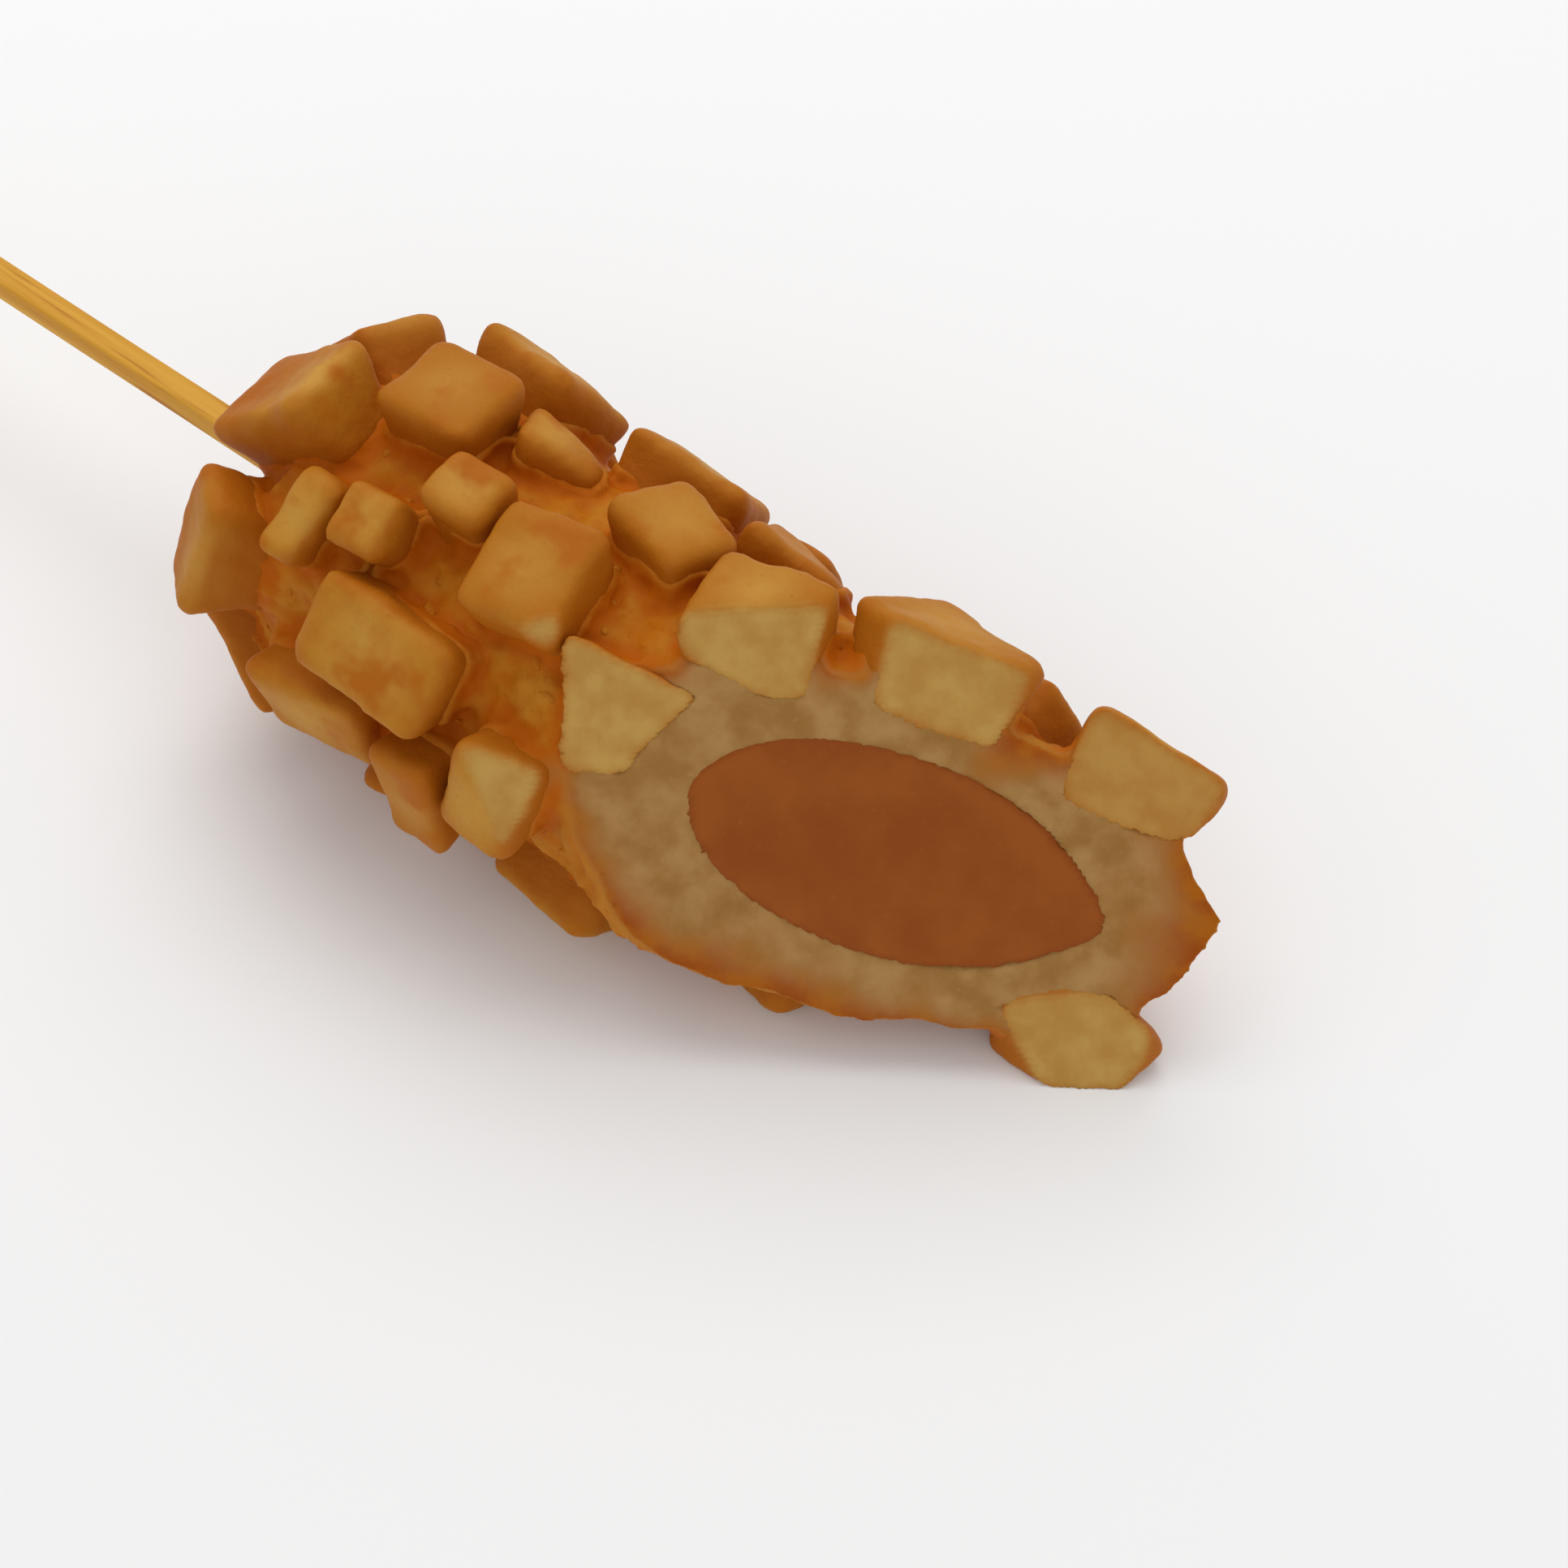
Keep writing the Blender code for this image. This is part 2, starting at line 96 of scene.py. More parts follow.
# %% [markdown]
# The shaping moves whole meshes at once, so their points go in and out as arrays. A smooth
# step blends from one state to the next without an edge. Averaging each point with its
# neighbours tells how far it stands out from its surroundings: edges and corners of a dice
# stand out, and they are what browns first in the fryer.

# %% Helpers for points and neighbours
def points_of(mesh):
    """The points of a mesh as an array."""
    flat = np.empty(len(mesh.vertices) * 3, dtype=np.float32)
    mesh.vertices.foreach_get("co", flat)
    return flat.reshape(-1, 3).astype(float)


def normals_of(mesh):
    """The outward direction at each point of a mesh."""
    flat = np.empty(len(mesh.vertices) * 3, dtype=np.float32)
    mesh.vertex_normals.foreach_get("vector", flat)
    return flat.reshape(-1, 3).astype(float)


def move_points(mesh, points):
    """Put the points of a mesh where an array says."""
    mesh.vertices.foreach_set("co", points.astype(np.float32).ravel())
    mesh.update()


def smooth_step(values, start, end):
    """Rises from 0 at start to 1 at end, without a corner."""
    share = np.clip((values - start) / (end - start), 0, 1)
    return share * share * (3 - 2 * share)


def averaged(mesh, values, rounds):
    """Values of a mesh's points, averaged with their neighbours again and again."""
    ends = np.empty(len(mesh.edges) * 2, dtype=np.int32)
    mesh.edges.foreach_get("vertices", ends)
    first, second = ends[0::2], ends[1::2]
    size = len(values)
    count = np.bincount(ends, minlength=size)
    columns = values.reshape(size, -1)
    for _ in range(rounds):
        total = [
            np.bincount(first, column[second], size) + np.bincount(second, column[first], size)
            for column in columns.T
        ]
        columns = np.stack(total, axis=1) / np.maximum(count, 1)[:, None]
    return columns.reshape(values.shape)


def relief(points, size, seed):
    """Smooth noise from -1 to 1 whose lumps have about the given size."""
    shift = Vector((seed * 3.1, seed * 7.7, seed * 1.9))
    return np.array([noise.noise(Vector(p) / size + shift) for p in points])


def store(mesh, name, values):
    """Keep one number for each point, for the material to read."""
    layer = mesh.attributes.new(name, "FLOAT", "POINT")
    layer.data.foreach_set("value", np.clip(values, 0, 1).astype(np.float32))


print("helpers are ready")

# %% [markdown]
# A CAD solid is a mesh of loose triangles. A copy of it is merged, then a modifier or two
# is applied to it just as one would by hand.

# %% Helpers for copies and modifiers
def only(target):
    """Select one object and make it the active one."""
    bpy.ops.object.select_all(action="DESELECT")
    target.select_set(True)
    bpy.context.view_layer.objects.active = target


def merged_copy(node, name):
    """A copy of a CAD solid with its triangles joined up."""
    mesh = nodes[node].data.copy()
    mesh.name = name
    mesh.materials.clear()
    made = bpy.data.objects.new(name, mesh)
    bpy.context.scene.collection.objects.link(made)
    only(made)
    bpy.ops.object.mode_set(mode="EDIT")
    bpy.ops.mesh.select_all(action="SELECT")
    bpy.ops.mesh.remove_doubles(threshold=0.005 * MM)
    bpy.ops.object.mode_set(mode="OBJECT")
    return made


def remeshed(target, voxel):
    """Rebuild a closed body with even faces."""
    only(target)
    modifier = target.modifiers.new("even faces", "REMESH")
    modifier.mode = "VOXEL"
    modifier.voxel_size = voxel
    bpy.ops.object.modifier_apply(modifier=modifier.name)


def softened(target, rounds):
    """Ease every edge of a body."""
    only(target)
    modifier = target.modifiers.new("soft edges", "SMOOTH")
    modifier.factor = 0.5
    modifier.iterations = rounds
    bpy.ops.object.modifier_apply(modifier=modifier.name)


def finish_piece(target, node_names, material):
    """Give a piece its finish, hang it under the root and hide the solids it stands for."""
    target.data.materials.clear()
    target.data.materials.append(material)
    only(target)
    bpy.ops.object.shade_smooth()
    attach(target, "root")
    if node_names:
        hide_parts(*node_names)


print("modifier helpers are ready")

# %% [markdown]
# Colours are written as they look on a screen, and one function turns them into the linear
# values that a shader works with. Another adds one node with its settings and its links.

# %% Helpers for materials
def linear(code):
    """A screen colour such as #c2994f as linear red, green, blue and alpha."""
    channels = [int(code[i : i + 2], 16) / 255 for i in (1, 3, 5)]
    return [c / 12.92 if c <= 0.04045 else ((c + 0.055) / 1.055) ** 2.4 for c in channels] + [1]


def lumps(size):
    """The noise scale whose lumps have a size in millimetres."""
    return 1 / (size * MM)


def add_node(tree, kind, links=None, **settings):
    """Add a node, set its options and sockets, and link what feeds it."""
    made = tree.nodes.new(kind)
    for name, value in settings.items():
        if hasattr(made, name):
            setattr(made, name, value)
        else:
            made.inputs[name.replace("_", " ")].default_value = value
    for name, source in (links or {}).items():
        tree.links.new(source, made.inputs[name])
    return made


def new_finish(name):
    """A material with its tree and its shader."""
    made = bpy.data.materials.new(name)
    made.use_nodes = True
    return made, made.node_tree, made.node_tree.nodes["Principled BSDF"]


print("material helpers are ready")

# %% [markdown]
# Fried potato. Each dice is golden and brown along its edges. Its top is painted lighter,
# with a soft painted highlight in the middle, and its low and steep sides are darker, partly
# the batter's colour and partly painted shade. The shaping below stores how brown each point
# is, how much batter colour and painted shade it takes, and how much painted light. Noise
# with lumps of about 3 mm gives blotches, 8 mm a film of glaze over part of the dice, and
# half a millimetre the specks of the skin. Each noise is stretched, so that it only shows
# where it is strong, and the tones are laid one over another like coats of paint. A little
# light goes into the flesh.

# %% Fried potato finish
potato_finish, tree, shader = new_finish("fried_potato_flesh")
place = add_node(tree, "ShaderNodeTexCoord").outputs["Object"]
brown = add_node(tree, "ShaderNodeAttribute", attribute_name="browning").outputs["Fac"]
# Partly the batter's colour and partly painted shade: low points and steep sides of the dice are darker.
batter_tint_and_shade = add_node(tree, "ShaderNodeAttribute", attribute_name="batter_tint_and_shade").outputs["Fac"]
sliced = add_node(tree, "ShaderNodeAttribute", attribute_name="sliced").outputs["Fac"]
tone = add_node(tree, "ShaderNodeAttribute", attribute_name="tone").outputs["Fac"]
# Painted light: the tops of the dice are made lighter, with a soft painted highlight in the middle.
painted_top_light = add_node(tree, "ShaderNodeAttribute", attribute_name="painted_top_light").outputs["Fac"]
blotch = add_node(tree, "ShaderNodeTexNoise", {"Vector": place}, Scale=lumps(3.2), Detail=3.0)
speck = add_node(tree, "ShaderNodeTexNoise", {"Vector": place}, Scale=lumps(0.55), Detail=4.0)
film = add_node(tree, "ShaderNodeTexNoise", {"Vector": place}, Scale=lumps(8.0), Detail=3.0)
stretched = [
    add_node(
        tree,
        "ShaderNodeMapRange",
        {"Value": source.outputs["Fac"]},
        interpolation_type="SMOOTHSTEP",
        From_Min=start,
        From_Max=end,
    ).outputs["Result"]
    for source, start, end in (
        (blotch, 0.35, 0.70),
        (film, 0.52, 0.68),
        (speck, 0.60, 0.85),
        (blotch, 0.3, 0.7),
    )
]
blotched, filmed, specked, mottled = stretched
skin_tones = {"data_type": "RGBA", "A": linear("#b67a1e"), "B": linear("#ab6512")}
golden = add_node(tree, "ShaderNodeMix", {"Factor": tone}, **skin_tones).outputs["Result"]
for factor, code in (
    (blotched, "#ad660e"),
    (painted_top_light, "#c89742"),
    (brown, "#ab6212"),
    (batter_tint_and_shade, "#ab5c0b"),
    (filmed, "#ae6210"),
    (specked, "#a9661c"),
):
    coat = add_node(tree, "ShaderNodeMix", {"Factor": factor, "A": golden}, data_type="RGBA", B=linear(code))
    golden = coat.outputs["Result"]
flesh_tones = {"data_type": "RGBA", "A": linear("#c29a50"), "B": linear("#b88941")}
flesh = add_node(tree, "ShaderNodeMix", {"Factor": mottled}, **flesh_tones).outputs["Result"]
colour = add_node(tree, "ShaderNodeMix", {"Factor": sliced, "A": golden, "B": flesh}, data_type="RGBA")
tree.links.new(colour.outputs["Result"], shader.inputs["Base Color"])
rough = add_node(tree, "ShaderNodeMapRange", {"Value": speck.outputs["Fac"]}, To_Min=0.45, To_Max=0.65)
tree.links.new(rough.outputs["Result"], shader.inputs["Roughness"])
bump = add_node(tree, "ShaderNodeBump", {"Height": speck.outputs["Fac"]}, Strength=0.45, Distance=0.2 * MM)
tree.links.new(bump.outputs["Normal"], shader.inputs["Normal"])
shader.inputs["Subsurface Weight"].default_value = 0.25
shader.inputs["Subsurface Radius"].default_value = (1.0, 0.6, 0.2)
shader.inputs["Subsurface Scale"].default_value = 1.2 * MM
shader.inputs["Specular IOR Level"].default_value = 0.1
print(potato_finish.name, "has", len(tree.nodes), "nodes")

# %% [markdown]
# Fried batter and its crumb. The crust is orange-brown and dry, and in the hollows beside
# the dice it is painted darker and redder as painted shade. Where the knife went through, the
# crumb is pale tan and finely porous, with pores of about a millimetre, and it browns in the
# last few millimetres under the crust. One material holds both, because the two run into
# each other without a seam.

# %% Fried batter finish
dough_finish, tree, shader = new_finish("fried_yeast_batter")
place = add_node(tree, "ShaderNodeTexCoord").outputs["Object"]
cut = add_node(tree, "ShaderNodeAttribute", attribute_name="cut").outputs["Fac"]
rim = add_node(tree, "ShaderNodeAttribute", attribute_name="rim").outputs["Fac"]
# Painted shade: the crust is darker and redder in the hollows beside the dice.
painted_hollow_shade = add_node(tree, "ShaderNodeAttribute", attribute_name="painted_hollow_shade").outputs["Fac"]
ridge = add_node(tree, "ShaderNodeAttribute", attribute_name="ridge").outputs["Fac"]
blotch = add_node(tree, "ShaderNodeTexNoise", {"Vector": place}, Scale=lumps(4.0), Detail=4.0)
grain = add_node(tree, "ShaderNodeTexNoise", {"Vector": place}, Scale=lumps(0.7), Detail=5.0)
pores = add_node(tree, "ShaderNodeTexVoronoi", {"Vector": place}, Scale=lumps(1.1))
stretched = [
    add_node(
        tree,
        "ShaderNodeMapRange",
        {"Value": source},
        interpolation_type="SMOOTHSTEP",
        From_Min=start,
        From_Max=end,
    ).outputs["Result"]
    for source, start, end in (
        (blotch.outputs["Fac"], 0.35, 0.68),
        (grain.outputs["Fac"], 0.56, 0.82),
        (blotch.outputs["Fac"], 0.3, 0.7),
        (grain.outputs["Fac"], 0.6, 0.9),
        (blotch.outputs["Fac"], 0.38, 0.62),
        (pores.outputs["Distance"], 0.0, 0.45),
    )
]
crust_blotch, crust_grain, crumb_blotch, crumb_grain, rim_blotch, hollow = stretched
crust_tones = {"data_type": "RGBA", "A": linear("#b86a10"), "B": linear("#bc7a21")}
crust = add_node(tree, "ShaderNodeMix", {"Factor": crust_blotch}, **crust_tones).outputs["Result"]
# The last coat is painted shade in the hollows beside the dice.
for factor, code in ((ridge, "#c2802c"), (crust_grain, "#ac5c0e"), (painted_hollow_shade, "#b65c0b")):
    coat = add_node(tree, "ShaderNodeMix", {"Factor": factor, "A": crust}, data_type="RGBA", B=linear(code))
    crust = coat.outputs["Result"]
crumb_tones = {"data_type": "RGBA", "A": linear("#b18852"), "B": linear("#9c703a")}
crumb = add_node(tree, "ShaderNodeMix", {"Factor": crumb_blotch}, **crumb_tones).outputs["Result"]
pale_crumb = {"data_type": "RGBA", "B": linear("#b58d58")}
crumb = add_node(tree, "ShaderNodeMix", {"Factor": crumb_grain, "A": crumb}, **pale_crumb).outputs["Result"]
rim_tones = {"data_type": "RGBA", "A": linear("#9b470a"), "B": linear("#ad5f10")}
toasted = add_node(tree, "ShaderNodeMix", {"Factor": rim_blotch}, **rim_tones).outputs["Result"]
rimmed = add_node(tree, "ShaderNodeMix", {"Factor": rim, "A": crumb, "B": toasted}, data_type="RGBA")
both = {"Factor": cut, "A": crust, "B": rimmed.outputs["Result"]}
colour = add_node(tree, "ShaderNodeMix", both, data_type="RGBA")
tree.links.new(colour.outputs["Result"], shader.inputs["Base Color"])
rough = add_node(tree, "ShaderNodeMapRange", {"Value": cut}, To_Min=0.491, To_Max=0.716)
tree.links.new(rough.outputs["Result"], shader.inputs["Roughness"])
height = add_node(tree, "ShaderNodeMix", {"Factor": cut, "A": grain.outputs["Fac"], "B": hollow})
low_relief = {"Strength": 0.45, "Distance": 0.2 * MM}
bump = add_node(tree, "ShaderNodeBump", {"Height": height.outputs["Result"]}, **low_relief)
tree.links.new(bump.outputs["Normal"], shader.inputs["Normal"])
shader.inputs["Subsurface Weight"].default_value = 0.12
shader.inputs["Subsurface Radius"].default_value = (1.0, 0.5, 0.2)
shader.inputs["Subsurface Scale"].default_value = 1.0 * MM
shader.inputs["Specular IOR Level"].default_value = 0.04
print(dough_finish.name, "has", len(tree.nodes), "nodes")

# %% [markdown]
# Cooked sausage. The knife leaves a smooth, fine-grained face of even brown, with a darker
# line where the skin is.

# %% Cooked sausage finish
sausage_finish, tree, shader = new_finish("cooked_sausage_meat")
place = add_node(tree, "ShaderNodeTexCoord").outputs["Object"]
skin = add_node(tree, "ShaderNodeAttribute", attribute_name="skin").outputs["Fac"]
cloud = add_node(tree, "ShaderNodeTexNoise", {"Vector": place}, Scale=lumps(7.0), Detail=3.0)
grain = add_node(tree, "ShaderNodeTexNoise", {"Vector": place}, Scale=lumps(0.6), Detail=4.0)
clouded, grainy = [
    add_node(
        tree,
        "ShaderNodeMapRange",
        {"Value": source.outputs["Fac"]},
        interpolation_type="SMOOTHSTEP",
        From_Min=start,
        From_Max=end,
    ).outputs["Result"]
    for source, start, end in ((cloud, 0.3, 0.7), (grain, 0.6, 0.9))
]
meat_tones = {"data_type": "RGBA", "A": linear("#9d5214"), "B": linear("#90470b")}
meat = add_node(tree, "ShaderNodeMix", {"Factor": clouded}, **meat_tones).outputs["Result"]
for factor, code in ((grainy, "#a45c1a"), (skin, "#8c450c")):
    coat = add_node(tree, "ShaderNodeMix", {"Factor": factor, "A": meat}, data_type="RGBA", B=linear(code))
    meat = coat.outputs["Result"]
tree.links.new(meat, shader.inputs["Base Color"])
bump = add_node(tree, "ShaderNodeBump", {"Height": grain.outputs["Fac"]}, Strength=0.25, Distance=0.1 * MM)
tree.links.new(bump.outputs["Normal"], shader.inputs["Normal"])
shader.inputs["Roughness"].default_value = 0.5
shader.inputs["Specular IOR Level"].default_value = 0.14
shader.inputs["Subsurface Weight"].default_value = 0.15
shader.inputs["Subsurface Radius"].default_value = (1.0, 0.45, 0.15)
shader.inputs["Subsurface Scale"].default_value = 1.0 * MM
print(sausage_finish.name, "has", len(tree.nodes), "nodes")

# %% [markdown]
# Sawn birch. The stick is split and sawn from a board, so its grain runs along it in fine
# streaks, and frying oil has turned it honey-coloured. Stretching the noise along the
# stick gives the streaks.

# %% Oiled birch finish
stick_finish, tree, shader = new_finish("oiled_birch")
place = add_node(tree, "ShaderNodeTexCoord").outputs["Object"]
along = add_node(tree, "ShaderNodeMapping", {"Vector": place}, Scale=(0.04, 1, 1)).outputs["Vector"]
streak = add_node(tree, "ShaderNodeTexNoise", {"Vector": along}, Scale=lumps(0.5), Detail=5.0)
band = add_node(tree, "ShaderNodeTexNoise", {"Vector": along}, Scale=lumps(2.0), Detail=2.0)
banded, streaked = [
    add_node(
        tree,
        "ShaderNodeMapRange",
        {"Value": source.outputs["Fac"]},
        interpolation_type="SMOOTHSTEP",
        From_Min=start,
        From_Max=end,
    ).outputs["Result"]
    for source, start, end in ((band, 0.3, 0.7), (streak, 0.5, 0.75))
]
wood_tones = {"data_type": "RGBA", "A": linear("#dca63e"), "B": linear("#cb8f2b")}
wood = add_node(tree, "ShaderNodeMix", {"Factor": banded}, **wood_tones).outputs["Result"]
dark_grain = {"data_type": "RGBA", "B": linear("#b3731f")}
wood = add_node(tree, "ShaderNodeMix", {"Factor": streaked, "A": wood}, **dark_grain).outputs["Result"]
tree.links.new(wood, shader.inputs["Base Color"])
bump = add_node(tree, "ShaderNodeBump", {"Height": streak.outputs["Fac"]}, Strength=0.4, Distance=0.08 * MM)
tree.links.new(bump.outputs["Normal"], shader.inputs["Normal"])
shader.inputs["Roughness"].default_value = 0.5
shader.inputs["Specular IOR Level"].default_value = 0.15
print(stick_finish.name, "has", len(tree.nodes), "nodes")

# %% [markdown]
# The potato dice. A knife cuts them square, and the fryer rounds their edges, shrinks their
# faces a little and wrinkles the skin that forms. Each CAD dice is rebuilt with even small
# faces, softened, and moved along its own surface by noise at two sizes. Softening would
# also round the face that the knife cut, so that face is put back on the knife's plane.

# %% Shape the potato dice
POTATO_VOXEL = 0.5 * MM
ON_PLANE = 0.4 * MM
FACE_SPREAD = 0.45 * MM
SWELL = 0.32 * MM
WAVE_SIZE = 5.5 * MM
WAVE_HEIGHT = 0.52 * MM
WRINKLE_SIZE = 1.7 * MM
WRINKLE_HEIGHT = 0.11 * MM
EDGE_STAND = 0.42 * MM
FLOOR_GAP = 0.03 * MM
NOISE_PLACES = 40
draw = random.Random(7)


def knife_marks(mesh):
    """1 at each point of the face that the knife cut, and 0 elsewhere."""
    facing = normals_of(mesh) @ KNIFE > 0.9
    return (facing & (depth_behind_cut(points_of(mesh)) < ON_PLANE)).astype(float)


def shape_dice(name):
    """One dice with soft edges and a wrinkled skin, and what was measured on it."""
    dice = merged_copy(name, name + "_dice")
    remeshed(dice, POTATO_VOXEL)
    marks = knife_marks(dice.data)
    softened(dice, 6)
    mesh = dice.data
    eased_points, eased_normals = points_of(mesh), normals_of(mesh)
    softened(dice, 14)
    points, normals = points_of(mesh), normals_of(mesh)
    sliced = averaged(mesh, marks, 2)
    back_out = smooth_step(sliced, 0.15, 0.6)[:, None]
    eased_points += (eased_normals - np.outer(eased_normals @ KNIFE, KNIFE)) * FACE_SPREAD
    points += (eased_points - points) * back_out
    points += np.outer(depth_behind_cut(points) * smooth_step(sliced, 0.3, 0.7), KNIFE)
    stands_out = np.einsum("ij,ij->i", points - averaged(mesh, points, 12), normals) / EDGE_STAND
    wave = relief(points, WAVE_SIZE, draw.random() * NOISE_PLACES) * WAVE_HEIGHT
    wrinkle = relief(points, WRINKLE_SIZE, draw.random() * NOISE_PLACES) * WRINKLE_HEIGHT
    lift = (wave + wrinkle + SWELL) * (1 - back_out[:, 0])
    points += normals * lift[:, None]
    points += np.outer(np.minimum(depth_behind_cut(points), 0), KNIFE)
    points[:, 2] = np.maximum(points[:, 2], FLOOR_GAP)
    move_points(mesh, points)
    return dice, normals, stands_out, sliced


print("the skin moves by up to", round((WAVE_HEIGHT + WRINKLE_HEIGHT + SWELL) / MM, 2), "mm")

# %% [markdown]
# What the finish of a dice reads. The tops of the dice are painted lighter, most of all in a
# soft painted highlight in the middle, each dice in its own tone. Edges that stand out are
# browner, and low points and steep sides are darker, partly the batter's colour and partly painted shade.

# %% Store what the dice's finish reads and finish each dice
PATCH_SIZE = 4.0 * MM
LOW_START = 17.5 * MM
LOW_END = 24.0 * MM
CROWN_SHARE = 0.62
# The knife left some of the golden skin on the face of this dice.
BARE_SHARE = {"potato_19": 0.75}


def dress_dice(dice, name, normals, stands_out, sliced):
    """Store how brown each point of a dice is, its batter colour and painted shade, and its painted light,
    and give it its finish.
    """
    mesh = dice.data
    points = points_of(mesh)
    upright = np.einsum("ij,ij->i", normals, unit(from_axis(points)))
    on_top = smooth_step(upright, 0.55, 0.95)
    # Low points near the batter and steep sides are marked for the darker coat, partly the batter's colour
    # and partly painted shade.
    low = 1 - smooth_step(np.linalg.norm(from_axis(points), axis=1), LOW_START, LOW_END)
    side = 1 - smooth_step(upright, 0.15, 0.9)
    patch = 0.5 + 0.5 * relief(points, PATCH_SIZE, draw.random() * NOISE_PLACES)
    tone = draw.random()
    top_points = points[upright > 0.9]
    crown = (top_points if len(top_points) else points).mean(axis=0)
    reach = np.ptp(points, axis=0).max() / 2
    # The soft spot round the middle of each top is a painted highlight.
    painted_highlight_spot = bell(np.linalg.norm(points - crown, axis=1), 0, CROWN_SHARE * reach)
    store(mesh, "browning", smooth_step(stands_out + patch * 0.5, 0.6, 1.5) * 0.5)
    # Painted shade, partly the batter's colour: low points and steep sides take the darker coat.
    store(mesh, "batter_tint_and_shade", (1 - (1 - low) * (1 - 0.75 * side)) * (0.65 + 0.35 * patch))
    store(mesh, "tone", np.full(len(points), tone))
    # Painted light: the tops are lighter, most of all in the painted highlight at their middle.
    store(mesh, "painted_top_light", on_top * painted_highlight_spot * (0.45 + 0.55 * (1 - tone)) * (0.6 + 0.4 * patch))
    store(mesh, "sliced", sliced * BARE_SHARE.get(name, 1.0))
    finish_piece(dice, [name], potato_finish)


dice_pieces = []
for name in potato_names:
    dice, *measured = shape_dice(name)
    dress_dice(dice, name, *measured)
    dice_pieces.append(dice)
print(len(dice_pieces), "dice,", sum(len(d.data.polygons) for d in dice_pieces), "faces")

# %% [markdown]
# The batter. It was soft when the dice were pressed in, so it swelled up their sides. The
# dough, the dice grown by about half a millimetre, the sausage and a short length of stick
# are joined into one body and rebuilt. Softening then fills the corners with fillets. The
# next step draws in the skin over each dice, the sausage and the stick, so that the real
# pieces show above it.

# %% Join what the batter wraps
BATTER_VOXEL = 0.6 * MM
POCKET_FILL = 0.45 * MM
MOST_CLIMB = 3.2 * MM
DOUGH_RADIUS = 18.0 * MM
DOME_LENGTH = 14.0 * MM
DOME_START = -21.5 * MM
STICK_MIDDLE = (-24 * MM, 0, AXIS_HEIGHT)
STICK_HOLE = (34 * MM, 4.0 * MM, 3.8 * MM)


def grown_copy(node, name, grow):
    """A copy of a solid whose skin is moved outwards but stays near the dough."""
    made = merged_copy(node, name)
    points = points_of(made.data) + normals_of(made.data) * grow
    spine = np.zeros_like(points)
    spine[:, 0] = np.maximum(points[:, 0], DOME_START)
    spine[:, 2] = AXIS_HEIGHT
    out = points - spine
    reach = np.linalg.norm(out / np.array([DOME_LENGTH, DOUGH_RADIUS, DOUGH_RADIUS]), axis=1)
    spare = np.minimum(1, (1 + MOST_CLIMB / DOUGH_RADIUS) / np.maximum(reach, 0.01))
    move_points(made.data, spine + out * spare[:, None])
    return made


batter = merged_copy("dough", "batter")
dough_skin = BVHTree.FromPolygons(
    [v.co.copy() for v in batter.data.vertices], [tuple(p.vertices) for p in batter.data.polygons]
)
fillers = [grown_copy(name, name + "_filler", POCKET_FILL) for name in potato_names]
fillers.append(grown_copy("sausage", "sausage_filler", POCKET_FILL))
bpy.ops.object.select_all(action="DESELECT")
bpy.ops.mesh.primitive_cube_add(size=1, location=STICK_MIDDLE, scale=STICK_HOLE)
stick_filler = bpy.context.object
bpy.ops.object.transform_apply(location=True, rotation=True, scale=True)
fillers.append(stick_filler)
bpy.ops.object.select_all(action="DESELECT")
for filler in fillers:
    filler.select_set(True)
batter.select_set(True)
bpy.context.view_layer.objects.active = batter
bpy.ops.object.join()
remeshed(batter, BATTER_VOXEL)
softened(batter, 7)
print("the joined batter has", len(batter.data.polygons), "faces")

# %% [markdown]
# The distance from the bare dough tells which parts of the batter's skin belong to a dice,
# the sausage or the stick. How far the batter climbs changes from place to place, so its
# edge on the dice isn't an even line, and past that edge the skin is drawn in.

# %% Find where the batter climbs and where it is drawn in
CLIMB = 1.9
CLIMB_CHANGE = 1.8
CLIMB_PATCH = 7.0 * MM
LEAST_CLIMB = 0.5 * MM
CUT_CLIMB = 0.6 * MM
STICK_REACH = 4.5 * MM
DRAWN_IN = 1.5 * MM
mesh = batter.data
points, normals = points_of(mesh), normals_of(mesh)
inside = depth_behind_cut(points)
on_cut = smooth_step(normals @ KNIFE, 0.6, 0.9) * smooth_step(-inside, -1.4 * MM, -0.5 * MM)
from_dough = np.array([dough_skin.find_nearest(Vector(p))[3] for p in points])
climb = (CLIMB + CLIMB_CHANGE * relief(points, CLIMB_PATCH, 3)) * MM
climb = np.where(on_cut > 0.3, CUT_CLIMB, np.maximum(climb, LEAST_CLIMB))
from_stick = np.linalg.norm(from_axis(points), axis=1)
climb = np.where((from_stick < STICK_REACH) & (points[:, 0] < 0), LEAST_CLIMB, climb)
fade = np.where(on_cut > 0.3, 0.9, 1.6) * MM
drawn_in = smooth_step(from_dough, climb, climb + fade) * DRAWN_IN
print("the batter climbs", round(float(climb.mean()) / MM, 1), "mm on average")

# %% [markdown]
# Fried crust is not smooth: it has blisters, folds and small craters. Three sizes of noise
# make them, all off the knife's face. Beside the cut they fade and the skin is evened out,
# because the knife pressed it flat there.

